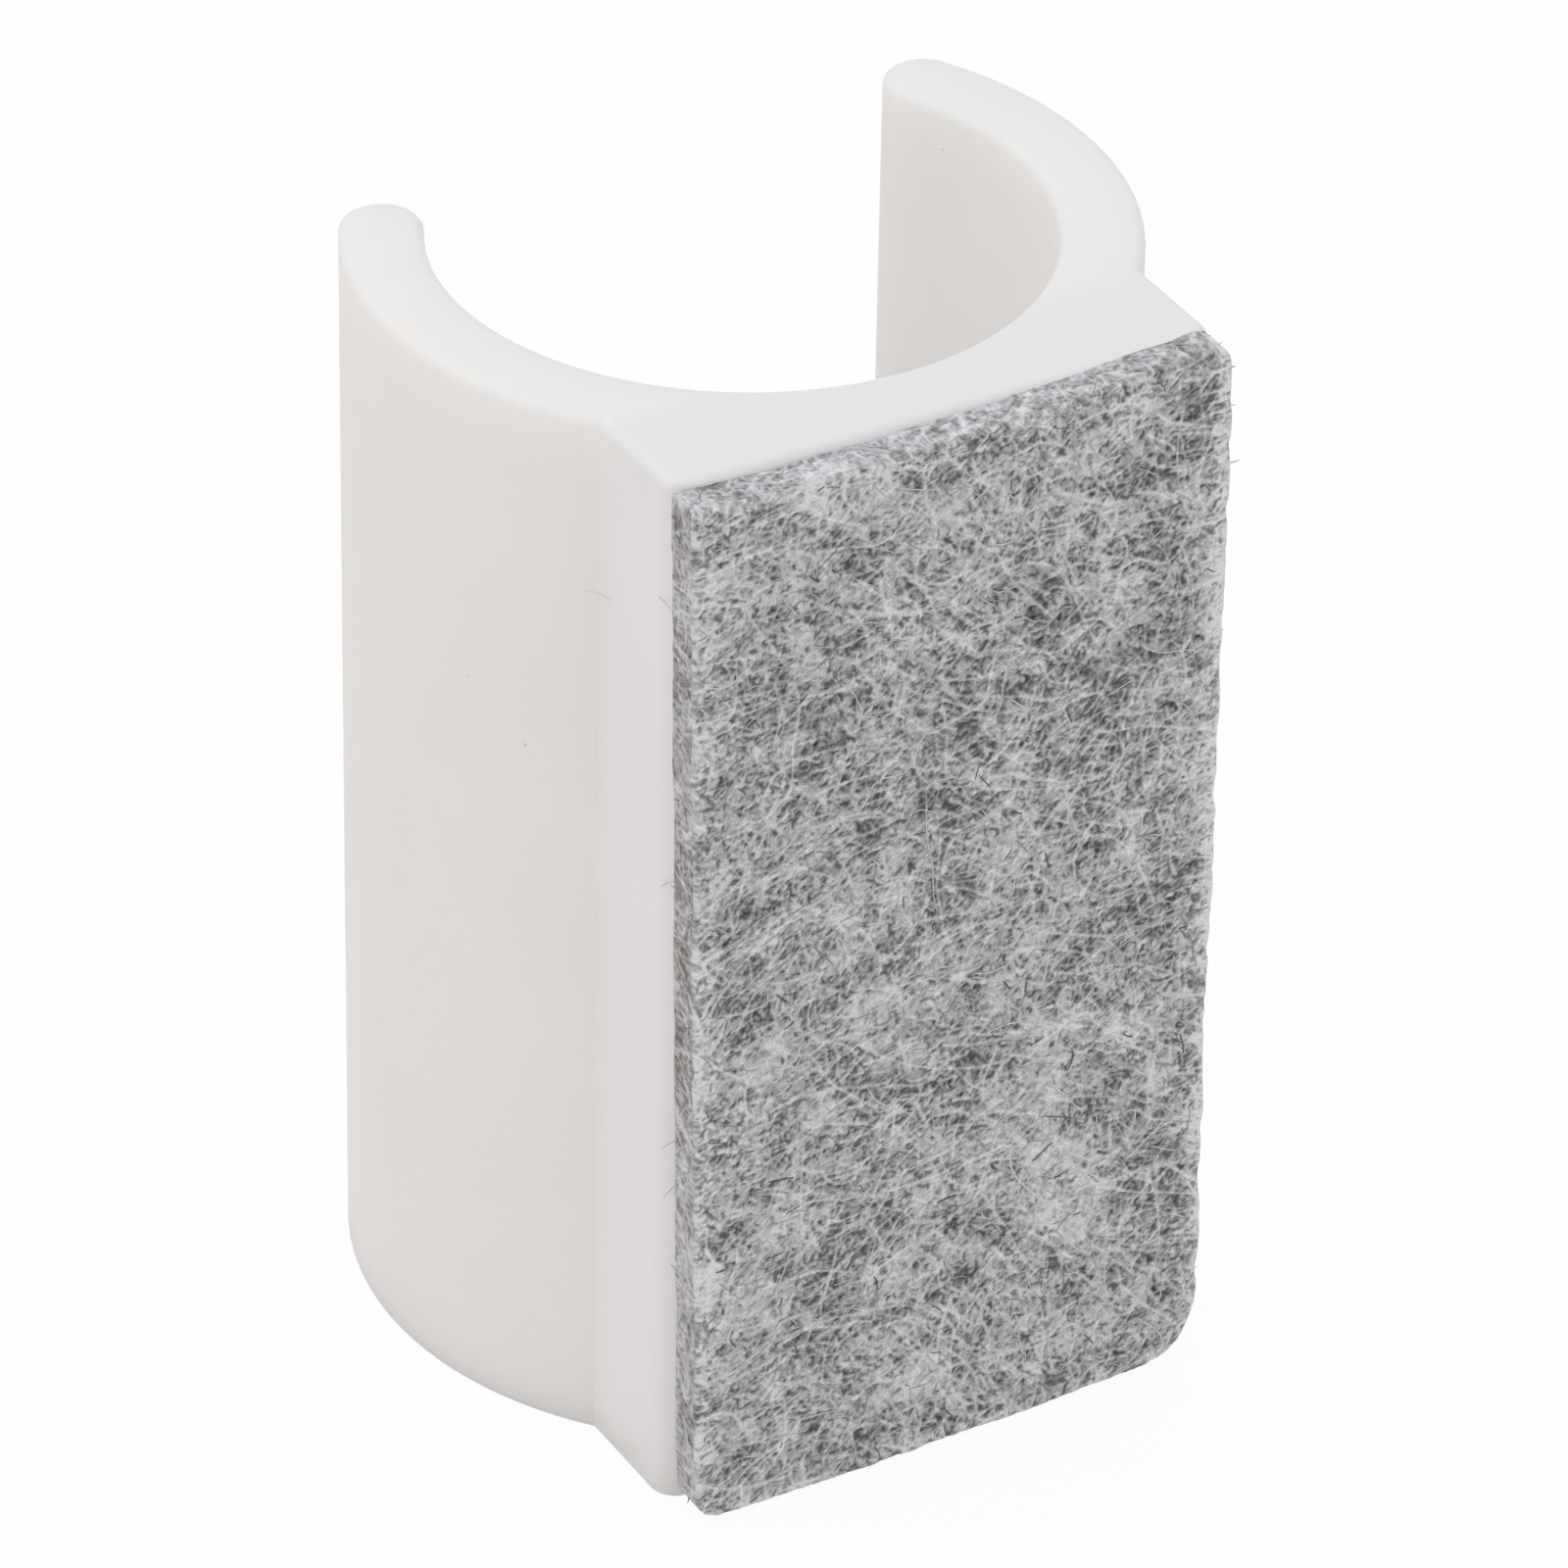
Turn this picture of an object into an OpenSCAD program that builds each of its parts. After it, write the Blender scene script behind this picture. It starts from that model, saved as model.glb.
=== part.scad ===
// Clip-on furniture slider for round chair tube: a moulded C-shaped clip with a flat foot,
// and a die-cut felt sole that an adhesive layer holds to the foot.
// It stands on its lower end: the tube's axis is Z, the mouth opens to +Y and the felt faces -Y.

/* [Clip] */
// Inside diameter of the clip, which is that of the tube it grips
bore_d = 20.8; // [19:0.1:24]
// Length of the clip along the tube
clip_len = 40; // [20:1:80]
// Thickness of the round wall and of the two arms
wall_t = 2.8; // [2:0.1:4]
// Clear gap between the arm tips, where the tube snaps in
mouth_w = 17.8; // [14:0.1:18.5]
// Rounding of every edge round the two end faces
end_edge_r = 0.4; // [0.2:0.05:0.6]

/* [Foot] */
// Width of the flat foot across the tube
foot_w = 20.1; // [16:0.1:23]
// Thickness of plastic between the bore and the foot's flat face
floor_t = 3; // [2.2:0.1:6]
// Rounding of the foot's two long corners
foot_corner_r = 1; // [0.7:0.1:2]

/* [Felt sole] */
// Set-back of the felt from each side of the foot
felt_side_gap = 0.4; // [0:0.1:3]
// Set-back of the felt from each end of the clip
felt_end_gap = 0.25; // [0:0.05:5]
// Thickness of the felt
felt_t = 1.4; // [0.8:0.1:5]
// Rounding of the four corners that the cutting die leaves
felt_corner_r = 0.8; // [0.3:0.1:3]
// Thickness of the adhesive layer on the back of the felt
adhesive_t = 0.15; // [0.05:0.05:0.5]

/* [Hidden] */
$fn = 96;

// Radii of the round wall, and of the circle that runs along its middle
bore_r = bore_d / 2;
outer_r = bore_r + wall_t;
mid_r = (bore_r + outer_r) / 2;
tip_r = wall_t / 2;

// Angle from the mouth's middle line to the centre of each arm's rounded tip
tip_angle = asin((mouth_w / 2 + tip_r) / mid_r);
wall_sweep = 360 - 2 * tip_angle;

// Planes that the layers of the sole lie on, as distances from the bore's axis
foot_y = bore_r + floor_t;
felt_back_y = foot_y + adhesive_t;

// Centre of the rounding at each long corner of the foot
foot_corner_x = foot_w / 2 - foot_corner_r;
foot_corner_y = foot_y - foot_corner_r;

// Size of the felt, which follows the foot's face
felt_w = foot_w - 2 * felt_side_gap;
felt_len = clip_len - 2 * felt_end_gap;

// Overrun of a cut past the faces that it opens
cut_over = wall_t;

// Rectangle from the origin, with its four corners rounded
module rounded_rectangle(width, height, r) {
    translate([r, 0]) square([width - 2 * r, height]);
    translate([0, r]) square([width, height - 2 * r]);
    for (x = [r, width - r], y = [r, height - r])
        translate([x, y]) circle(r);
}

// Right-hand half of such a rectangle, from its middle line at x = 0: the section of a round column
module rounded_half(half_width, height, r) {
    square([half_width - r, height]);
    translate([0, r]) square([half_width, height - 2 * r]);
    for (y = [r, height - r])
        translate([half_width - r, y]) circle(r);
}

// C-shaped wall: an upright section turned round the bore's axis, no further out than the foot's face
module round_wall() {
    difference() {
        rotate([0, 0, 90 + tip_angle])
            rotate_extrude(angle = wall_sweep)
                translate([bore_r, 0])
                    rounded_rectangle(wall_t, clip_len, end_edge_r);
        translate([-outer_r, -foot_y - outer_r, -cut_over])
            cube([2 * outer_r, outer_r, clip_len + 2 * cut_over]);
    }
}

// Half-round end of one arm, on side +1 or -1
module arm_tip(side) {
    rotate([0, 0, 90 - side * tip_angle])
        translate([mid_r, 0])
            rotate([0, 0, side > 0 ? 0 : 180])
                rotate_extrude(angle = 180)
                    rounded_half(tip_r, clip_len, end_edge_r);
}

// Foot as a solid block: a bar between its front corners, a bar between its sides behind them,
// and a round column in each front corner
module foot_block() {
    rotate([0, 0, 90])
        rotate([90, 0, 0])
            translate([-foot_y, 0, -foot_corner_x])
                linear_extrude(2 * foot_corner_x)
                    rounded_rectangle(foot_y, clip_len, end_edge_r);
    translate([-foot_w / 2, 0, 0])
        rotate([90, 0, 0])
            linear_extrude(foot_corner_y)
                rounded_rectangle(foot_w, clip_len, end_edge_r);
    for (side = [-1, 1])
        translate([side * foot_corner_x, -foot_corner_y, 0])
            rotate_extrude()
                rounded_half(foot_corner_r, clip_len, end_edge_r);
}

// Foot, hollowed to the middle of the round wall that it grows out of
module foot() {
    difference() {
        foot_block();
        translate([0, 0, -cut_over])
            cylinder(r = mid_r, h = clip_len + 2 * cut_over);
    }
}

// Outline that the die cuts through the felt and its adhesive backing together
module sole_outline() {
    translate([-felt_w / 2, felt_end_gap])
        rounded_rectangle(felt_w, felt_len, felt_corner_r);
}

// A layer of the sole, from back_y forwards
module sole_layer(back_y, thickness) {
    translate([0, -back_y, 0])
        rotate([90, 0, 0])
            linear_extrude(thickness)
                sole_outline();
}

module clip_body() {
    color("whitesmoke") {
        round_wall();
        for (side = [-1, 1])
            arm_tip(side);
        foot();
    }
}

module adhesive_layer() {
    color("gainsboro") sole_layer(foot_y, adhesive_t);
}

module felt_pad() {
    color("darkgray") sole_layer(felt_back_y, felt_t);
}

clip_body();
adhesive_layer();
felt_pad();
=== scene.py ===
"""Clip-on furniture slider: a C-shaped plastic clip with a flat foot and a felt sole.

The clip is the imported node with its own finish. The felt and its adhesive backing are worked out
here with numpy, in millimetres: p runs across the sole, q along it and h out of its face.
"""
import math

import bpy
import numpy as np
from mathutils import Matrix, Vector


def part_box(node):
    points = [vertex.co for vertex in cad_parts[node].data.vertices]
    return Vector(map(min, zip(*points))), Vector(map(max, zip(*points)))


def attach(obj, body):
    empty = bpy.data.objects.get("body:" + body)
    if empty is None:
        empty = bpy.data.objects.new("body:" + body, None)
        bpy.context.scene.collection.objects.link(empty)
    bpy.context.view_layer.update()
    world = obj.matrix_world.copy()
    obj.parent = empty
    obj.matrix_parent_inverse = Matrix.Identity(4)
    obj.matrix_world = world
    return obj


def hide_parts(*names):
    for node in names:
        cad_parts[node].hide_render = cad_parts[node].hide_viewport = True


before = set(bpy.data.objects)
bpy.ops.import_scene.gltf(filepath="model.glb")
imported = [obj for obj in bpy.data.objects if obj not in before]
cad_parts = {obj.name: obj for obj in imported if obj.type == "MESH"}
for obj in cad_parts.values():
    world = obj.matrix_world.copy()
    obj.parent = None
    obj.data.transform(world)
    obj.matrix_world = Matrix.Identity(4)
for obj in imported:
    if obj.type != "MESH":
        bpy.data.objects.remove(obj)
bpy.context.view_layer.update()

MM = 0.001
rng = np.random.default_rng(20)

# Felt and adhesive as packed, in millimetres
felt_low, felt_high = (np.array(corner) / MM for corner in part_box("felt_pad"))
glue_low, glue_high = (np.array(corner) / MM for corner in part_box("adhesive_layer"))
FELT_WIDTH = felt_high[0] - felt_low[0]
FELT_LENGTH = felt_high[2] - felt_low[2]
FELT_DEPTH = felt_high[1] - felt_low[1]
FELT_FRONT = -felt_low[1]
GLUE_DEPTH = glue_high[1] - glue_low[1]

# Air left between the adhesive and the foot, and how far inside the felt's outline the adhesive ends
GLUE_GAP = 0.01
GLUE_INSET = 0.25

# Front of the clip's foot, how far behind it light starts to soak into the plastic and soaks in full, and
# how far up from the low end it soaks into the foot too. Where it does not soak, the foot has a white a
# little lighter and cooler than the wall's: painted light
FOOT_FRONT = FELT_FRONT - FELT_DEPTH - GLUE_DEPTH
SOAK_DEPTHS = (3.6, 5.2)
SOAK_HEIGHT = 2.5

# Where the felt's corners came to lie on the foot, as x and z: low left, low right, high left and
# high right. It was cut a little out of square and stuck on a little turned
SOLE_CORNERS = ((-9.63, 0.18), (9.90, 0.56), (-10.22, 39.92), (9.66, 40.56))

# Grid of the felt's face, the rings of its cut sides, and the finer raster that strands are laid on
COLUMNS = 387
ROWS = 791
SIDE_RINGS = 16
RASTER = (2 * COLUMNS - 1, 2 * ROWS - 1)
CELL = FELT_WIDTH / (RASTER[0] - 1)

# Clouds in the felt, as strength and width in millimetres
CLOUDS = ((0.1, 1.5), (0.55, 0.6), (0.85, 0.28))

# Grid of the way that the web was carded, and the width of its changes in cells of that grid
COMB_GRID = (97, 198)
COMB_WIDTH = 12

# Width and length of the strands in each layer: the short ones of the mat, the web over them, the dark
# gaps in it, the thin web over those and the few long ones on top. The dark gaps are painted shade in
# the felt's hollows, and the dark strands of the mat and web are partly dark fibres and partly painted
# shade
MAT_STRANDS = ((0.034, 0.25), (0.066, 0.44), (0.047, 0.33)) * 3
WEB_STRANDS = ((0.026, 0.8), (0.036, 0.5)) * 3
SHADED_GAP_STRANDS = ((0.03, 0.1), (0.038, 0.2), (0.027, 0.15))
THIN_STRANDS = ((0.034, 0.7), (0.026, 1.0))
TOP_STRANDS = ((0.042, 1.0), (0.034, 1.8), (0.03, 3.2))

# How each layer is laid: the density and curl of its strands, the share of dark ones and how much it falls
# where the clouds are light, the middle and spread of their tones, and the share of the felt that they hide
MAT_LAYER = {
    "density": 0.08,
    "curl": 3.0,
    "dark_share": (0.44, 0.14),
    "dark": (0.14, 0.12),
    "light": (0.68, 0.13),
    "cover": 0.65,
}
WEB_LAYER = {
    "density": 0.066,
    "curl": 1.8,
    "dark_share": (0.16, 0.1),
    "dark": (0.15, 0.1),
    "light": (0.74, 0.12),
    "cover": 0.55,
}
# Dark gaps: painted shade in the hollows of the felt
SHADED_GAP_LAYER = {
    "density": 0.045,
    "curl": 3.0,
    "dark": (0.02, 0.08),
    "cover": 0.7,
}
THIN_LAYER = {
    "density": 0.04,
    "curl": 1.4,
    "dark_share": (0.0, 0.0),
    "dark": (0.0, 0.0),
    "light": (0.74, 0.09),
    "cover": 0.5,
}
TOP_LAYER = {
    "density": 0.035,
    "curl": 0.9,
    "carded_share": 0.55,
    "light": (0.86, 0.05),
    "cover": 0.6,
}

# Fibres that lie on the face: how many, the points along each, their middle length, curl and carded share,
# the range of their radius, and the middle and spread of their tone
FACE_FIBRES = {
    "felt_fibres_short": {
        "count": 1600,
        "steps": 8,
        "length": 0.8,
        "curl": 1.8,
        "carded_share": 0.3,
        "radius": (0.022, 0.036),
        "tone": (0.66, 0.10),
    },
    "felt_fibres_long": {
        "count": 220,
        "steps": 18,
        "length": 2.2,
        "curl": 1.0,
        "carded_share": 0.5,
        "radius": (0.024, 0.04),
        "tone": (0.75, 0.07),
    },
    "felt_fibres_dark": {
        "count": 160,
        "steps": 10,
        "length": 0.7,
        "curl": 1.5,
        "carded_share": 0.3,
        "radius": (0.02, 0.03),
        "tone": (0.15, 0.06),
    },
}

# Fibres that show on the cut sides: how many, the points along each, the ranges of their length and radius,
# and the middle and spread of their tone
SIDE_FIBRES = {
    "count": 300,
    "steps": 7,
    "length": (0.5, 1.8),
    "radius": (0.015, 0.03),
    "tone": (0.6, 0.1),
}

# Whiskers round the rim: how many, the points along each, the depth of their root, the least and most that
# they stand out, the range of their radius, and the middle and spread of their tone
WHISKERS = {
    "count": 110,
    "steps": 6,
    "root": 0.08,
    "reach": (0.02, 0.5),
    "radius": (0.014, 0.026),
    "tone": (0.52, 0.18),
}

# How flat the fibres of the face and sides are pressed
FIBRE_FLAT = 0.6

# Points at which a fibre is tested against the felt's edge, and the share of it that has to be inside
TRIM_STEPS = 60
LEAST_SHARE = 0.25

# Screen values of the darkest pit, whose shade is painted in, and the lightest strand, how far the tones
# between them are lifted, the light that reaches the sole, and the height between pit and strand
SHADED_PIT_LEVEL = 58
STRAND_LEVEL = 232
MIDDLE_LIFT = 0.1
SOLE_LIGHT = 0.68
PIT_DEPTH = 0.09

# Finest streaks of the felt's finish, as counts to a metre along, into and across the strand, and the ways
# that they run
STREAK_SCALE = (2200.0, 900.0, 15000.0)
STREAK_ANGLES = (0.15, -0.55, 0.7, 1.45, 2.3)

# Lightest grey of the felt and its fibres
LIGHT_GREY = (243, 247, 253)

# Rounding of the felt's corners, first left then right, and of the rim of its face
BOTTOM_CORNERS = (1.0, 2.1)
TOP_CORNERS = (0.12, 0.8)
RIM_ROUND = 0.15

# Cut sides: how rough they are next to the face, the share of the face's length in each strip that their
# tone is read from, and how much lighter the high end is painted where its side faces up: painted light
SIDE_ROUGHNESS = 0.4
SIDE_STRIP = 0.9
HIGH_SIDE_PAINTED_LIGHT = 0.04

# Ring on the back inside the rim, where the pale coat starts, as a share of the outline
BACK_RING = 0.99

# Scale and middle of the places on the bake's map: the sole's face with its sides round it, and its back,
# and the adhesive's front and its back
FACE_MAP = ((0.415, 0.445), (0.465, 0.5))
BACK_MAP = ((0.025, 0.4), (0.965, 0.5))
GLUE_FRONT_MAP = ((0.4, 0.86), (0.25, 0.5))
GLUE_BACK_MAP = ((0.4, 0.86), (0.74, 0.5))

# How much lighter the face is towards each edge, and over what width that fades: left, right, low
# and high
EDGE_LIGHTENING = ((0.18, 1.1), (0.35, 0.85), (0.1, 0.9), (0.1, 1.9))

# How far each edge of the felt strays from straight, and bulges in its middle: left, right, low and high
EDGE_STRAY = (0.02, 0.05, 0.02, 0.03)
EDGE_BULGE = (0.0, 0.0, 0.2, -0.33)

# Places along an edge, from -1 to 1, where its line is worked out: one every 0.05 mm or so
EDGE_PLACES = np.linspace(-1, 1, 800)

# Room that the fibres on the face leave along its edges
TIP_ROOM = 0.12

# Sides of a fibre's tube, and the margin round it in its cell of the bake's map
TUBE_SIDES = 3
MAP_MARGIN = 0.06

# Ends of the loose hairs beside the felt, how they bow between them, and their radius, in millimetres
HAIR_ENDS = (
    ((-10.36, -8.22, 33.50), (-10.08, -9.47, 33.74)),
    ((-10.08, -12.45, 35.54), (-10.08, -13.40, 35.49)),
    ((-10.08, -12.84, 24.69), (-9.80, -13.67, 25.29)),
    ((-10.08, -13.10, 14.53), (-9.70, -14.00, 15.33)),
    ((-10.08, -13.26, 12.66), (-9.66, -14.03, 13.70)),
)
HAIR_BOW = (-0.03, 0.0, 0.1)
HAIR_RADIUS = 0.018

# Floor: half its side in metres, and the air between it and the clip in millimetres, which lets light
# that soaks through the clip come back
FLOOR_REACH = 4.0
FLOOR_GAP = 0.01

# Light: the dome's colour and strength, the colours of the floor's paint and glow as they reach the slider,
# the share of glow there and how much more of it the camera sees
WHITE = (1.0, 1.0, 1.0, 1.0)
DOME_COLOUR = (1.0, 0.99, 0.985, 1.0)
DOME_STRENGTH = 0.73
FLOOR_PAINT = (0.87, 0.795, 0.765, 1.0)
FLOOR_GLOW = (0.63, 0.583, 0.565, 1.0)
GLOW_SHARE = 0.4
SEEN_GLOW = 0.54

# Soft boxes, as name, place and side in metres, and power in watts, and the place that they are aimed at
SOFT_BOXES = (
    ("box_above", (-0.10, 0.05, 0.75), 0.6, 0.35),
    ("box_left", (-0.50, 0.15, 0.55), 0.5, 0.75),
)
LIT_PLACE = (0.0, 0.0, 0.02)

# Camera fitted to the photograph: azimuth, elevation and roll in degrees, place in millimetres, focal
# length and side of the frame in pixels, and sensor in millimetres
CAMERA_ANGLES = (30.3994, 33.2752, 1.0799)
CAMERA_PLACE = (-141.289, -244.205, 203.279)
FOCAL_PIXELS = 10160.73
FRAME_PIXELS = 1600
SENSOR_WIDTH = 36.0

# Specks of dust on the clip, as place and radius in millimetres
DUST_SPECKS = (
    ((-11.54, -6.41, 26.92), 0.065),
    ((-12.50, -4.24, 28.64), 0.035),
    ((-13.08, 1.76, 18.74), 0.04),
    ((9.77, 3.57, 38.35), 0.05),
)


class Wire:
    """A socket of a node tree. Arithmetic on it adds Math nodes, and node() adds any other node."""

    def __init__(self, tree, socket=None):
        self.tree = tree
        self.socket = socket

    def node(self, kind, settings=None, sockets=None, out=0):
        """Adds a node: first its settings, then the value or link of each socket."""
        made = self.tree.nodes.new("ShaderNode" + kind)
        for name, value in (settings or {}).items():
            setattr(made, name, value)
        for key, value in (sockets or {}).items():
            if isinstance(value, Wire):
                self.tree.links.new(value.socket, made.inputs[key])
            else:
                made.inputs[key].default_value = value
        return Wire(self.tree, made.outputs[out] if made.outputs else None)

    def maths(self, operation, first, second):
        """One Math node on two values."""
        return self.node("Math", {"operation": operation}, {0: first, 1: second})

    def __add__(self, other):
        return self.maths("ADD", self, other)

    def __radd__(self, other):
        return self.maths("ADD", other, self)

    def __sub__(self, other):
        return self.maths("SUBTRACT", self, other)

    def __rsub__(self, other):
        return self.maths("SUBTRACT", other, self)

    def __mul__(self, other):
        return self.maths("MULTIPLY", self, other)

    def __rmul__(self, other):
        return self.maths("MULTIPLY", other, self)

    def larger(self, other):
        """The larger of two values."""
        return self.maths("MAXIMUM", self, other)

    def smaller(self, other):
        """The smaller of two values."""
        return self.maths("MINIMUM", self, other)

    def rise(self, low, high):
        """0 below low, 1 above high and a smooth rise between them."""
        return self.node(
            "MapRange",
            {"interpolation_type": "SMOOTHSTEP"},
            {"Value": self, "From Min": low, "From Max": high},
        )

    def mix(self, first, second):
        """Colour that goes from first to second as this value goes from 0 to 1."""
        return self.node(
            "Mix",
            {"data_type": "RGBA"},
            {0: self, 6: first, 7: second},
            out=2,
        )

    def noise(self, scale, detail=2.0):
        """Cloudy noise at these coordinates, about 0.5, with scale bumps to a metre."""
        return self.node("TexNoise", None, {"Vector": self, "Scale": scale, "Detail": detail})

    def turned(self, angle, scale):
        """These coordinates turned in the plane of the sole, then scaled along x, y and z."""
        return self.node(
            "Mapping",
            {"vector_type": "POINT"},
            {
                "Vector": self.node(
                    "VectorRotate",
                    {"rotation_type": "Y_AXIS"},
                    {"Vector": self, "Angle": angle},
                ),
                "Scale": scale,
            },
        )


def screen(red, green, blue):
    """A colour in screen values from 0 to 255, as the linear colour that shaders take."""
    value = np.array([red, green, blue]) / 255.0
    linear = np.where(value <= 0.04045, value / 12.92, ((value + 0.055) / 1.055) ** 2.4)
    return (*linear.tolist(), 1.0)


def new_finish(name):
    """An empty material and the wire that its nodes start from."""
    material = bpy.data.materials.new(name)
    material.use_nodes = True
    material.node_tree.nodes.clear()
    return material, Wire(material.node_tree)


def moulded_plastic():
    """Warm white plastic: faint clouds, a few specks of dust and a fine grain. Light soaks into the wall
    and the foot's low end, but not into the rest of the foot, where the sole would swallow it. That rest
    of the foot is a copy of the plastic in a white a little lighter and cooler: painted light."""
    material, start = new_finish("clip_plastic")
    place = start.node("TexCoord", out="Object")
    clouds = place.noise(160.0, 3.0)
    grain = place.noise(5200.0, 2.0)
    dust = None
    for centre, radius in DUST_SPECKS:
        middle = np.array(centre) * MM
        away = place.node("VectorMath", {"operation": "DISTANCE"}, {0: place, 1: middle}, out="Value")
        speck = 1.0 - away.rise(0.5 * radius * MM, 1.2 * radius * MM)
        dust = dust.larger(speck) if dust else speck
    cloudy = clouds.rise(0.3, 0.7)
    # Painted light: the foot's white is a little lighter and cooler than the wall's
    foot_painted_light_white = cloudy.mix(screen(241, 241, 242), screen(243, 243, 244))
    wall_white = cloudy.mix(screen(240, 240, 239), screen(242, 242, 241))
    dusty_white = (dust * 0.45).mix(wall_white, screen(150, 140, 132))
    height = grain * 0.5 + clouds * 0.5
    bump = start.node("Bump", None, {"Strength": 0.12, "Distance": 0.00004, "Height": height})
    gloss = {"Roughness": 0.42 + 0.16 * grain, "Normal": bump, "IOR": 1.46}
    soak = {
        "Subsurface Weight": 0.95,
        "Subsurface Radius": (1.0, 0.85, 0.73),
        "Subsurface Scale": 0.004,
    }
    # The foot's copy of the plastic, which does not soak, wears the painted lighter white
    dense_painted_light_copy = start.node("BsdfPrincipled", None, {"Base Color": foot_painted_light_white, **gloss})
    soaked = start.node("BsdfPrincipled", None, {"Base Color": dusty_white, **gloss, **soak})
    back = start.node("SeparateXYZ", None, {0: place}, out="Y")
    up = start.node("SeparateXYZ", None, {0: place}, out="Z")
    behind = back.rise(*((depth - FOOT_FRONT) * MM for depth in SOAK_DEPTHS))
    low = 1.0 - up.rise(0.0, SOAK_HEIGHT * MM)
    shader = start.node("MixShader", None, {0: behind.larger(low), 1: dense_painted_light_copy, 2: soaked})
    start.node("OutputMaterial", None, {"Surface": shader})
    return material


def adhesive_film():
    """Pale tacky film: cloudy, with short streaks along the sole."""
    material, start = new_finish("adhesive")
    place = start.node("TexCoord", out="Object")
    clouds = place.noise(900.0, 3.0)
    streaks = place.turned(0.0, (4000.0, 4000.0, 500.0)).noise(1.0, 2.0)
    colour = clouds.rise(0.35, 0.65).mix(screen(248, 247, 245), screen(252, 251, 250))
    colour = (streaks.rise(0.5, 0.7) * 0.3).mix(colour, screen(236, 234, 231))
    bump = start.node("Bump", None, {"Strength": 0.2, "Distance": 0.00003, "Height": streaks})
    shader = start.node(
        "BsdfPrincipled",
        None,
        {"Base Color": colour, "Roughness": 0.35 + 0.3 * clouds, "Normal": bump},
    )
    start.node("OutputMaterial", None, {"Surface": shader})
    return material


def matted_felt():
    """Grey felt with painted warm light on its cut sides and rounded rim, most on the left side: each point
    has its own shade, which fine streaks crossing five ways break up."""
    material, start = new_finish("felt")
    place = start.node("TexCoord", out="Object")
    shade = start.node("Attribute", {"attribute_name": "shade"}, out="Fac")
    # cut holds painted warm light: on the cut sides, most on the left one, and on the rounded rim
    cut = start.node("Attribute", {"attribute_name": "cut"}, out="Fac")
    clouds = place.noise(420.0, 3.0)
    tint = place.noise(900.0, 2.0)
    streaks = None
    for angle in STREAK_ANGLES:
        layer = place.turned(angle, STREAK_SCALE).noise(1.0, 1.0)
        streaks = streaks.larger(layer) if streaks else layer
    level = shade * (0.85 + 0.3 * streaks.rise(0.5, 0.75) + 0.12 * (clouds - 0.5))
    grey = level.mix(screen(0, 0, 0), screen(*LIGHT_GREY))
    # Warm brown, reached by a faint random tint and by the painted warm light in cut
    colour = (tint.rise(0.4, 0.75) * 0.045 + cut * 0.2).mix(grey, screen(176, 164, 148))
    bump = start.node("Bump", None, {"Strength": 0.5, "Distance": 0.00003, "Height": streaks})
    shader = start.node(
        "BsdfPrincipled",
        None,
        {
            "Base Color": colour,
            "Roughness": 0.86 + 0.1 * clouds,
            "Normal": bump,
            "Specular IOR Level": 0.2,
            "Sheen Weight": 0.05,
        },
    )
    start.node("OutputMaterial", None, {"Surface": shader})
    return material


def felt_fibre():
    """Single fibres: each has its own shade, which clouds vary along it."""
    material, start = new_finish("felt_fibre")
    place = start.node("TexCoord", out="Object")
    shade = start.node("Attribute", {"attribute_name": "shade"}, out="Fac")
    along = place.noise(2600.0, 2.0)
    tint = place.noise(700.0, 1.0)
    grey = (shade * (0.7 + 0.6 * along)).mix(screen(0, 0, 0), screen(*LIGHT_GREY))
    colour = (tint.rise(0.45, 0.75) * 0.06).mix(grey, screen(214, 206, 194))
    shader = start.node(
        "BsdfPrincipled",
        None,
        {
            "Base Color": colour,
            "Roughness": 0.6 + 0.2 * along,
            "Specular IOR Level": 0.3,
        },
    )
    start.node("OutputMaterial", None, {"Surface": shader})
    return material


def add_piece(name, points, faces, corner_map=None, values=None):
    """Puts arrays into a mesh object at the origin, in metres. faces is a list of arrays of corners,
    corner_map gives each corner's place on the bake's map, and values holds named values for each point."""
    mesh = bpy.data.meshes.new(name)
    mesh.vertices.add(len(points))
    mesh.vertices.foreach_set("co", np.asarray(points, np.float32).ravel())
    corners = np.concatenate([block.ravel() for block in faces]).astype(np.int32)
    sizes = np.concatenate([np.full(len(block), block.shape[1]) for block in faces])
    starts = np.concatenate([[0], np.cumsum(sizes)[:-1]]).astype(np.int32)
    mesh.loops.add(len(corners))
    mesh.loops.foreach_set("vertex_index", corners)
    mesh.polygons.add(len(sizes))
    mesh.polygons.foreach_set("loop_start", starts)
    mesh.polygons.foreach_set("use_smooth", np.ones(len(sizes), bool))
    mesh.update(calc_edges=True)
    if corner_map is not None:
        layer = mesh.uv_layers.new(name="OFBake")
        layer.uv.foreach_set("vector", np.asarray(corner_map, np.float32).ravel())
    for key, value in (values or {}).items():
        layer = mesh.attributes.new(key, "FLOAT", "POINT")
        layer.data.foreach_set("value", np.asarray(value, np.float32).ravel())
    piece = bpy.data.objects.new(name, mesh)
    bpy.context.scene.collection.objects.link(piece)
    return piece


def wear(piece, material):
    """Gives a piece its finish and its material slot, and lets it ride on the slider."""
    piece.data.materials.append(material)
    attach(piece, "root")


def unit(vector):
    """Vectors scaled to unit length along their last axis."""
    return vector / np.linalg.norm(vector, axis=-1, keepdims=True)


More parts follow.
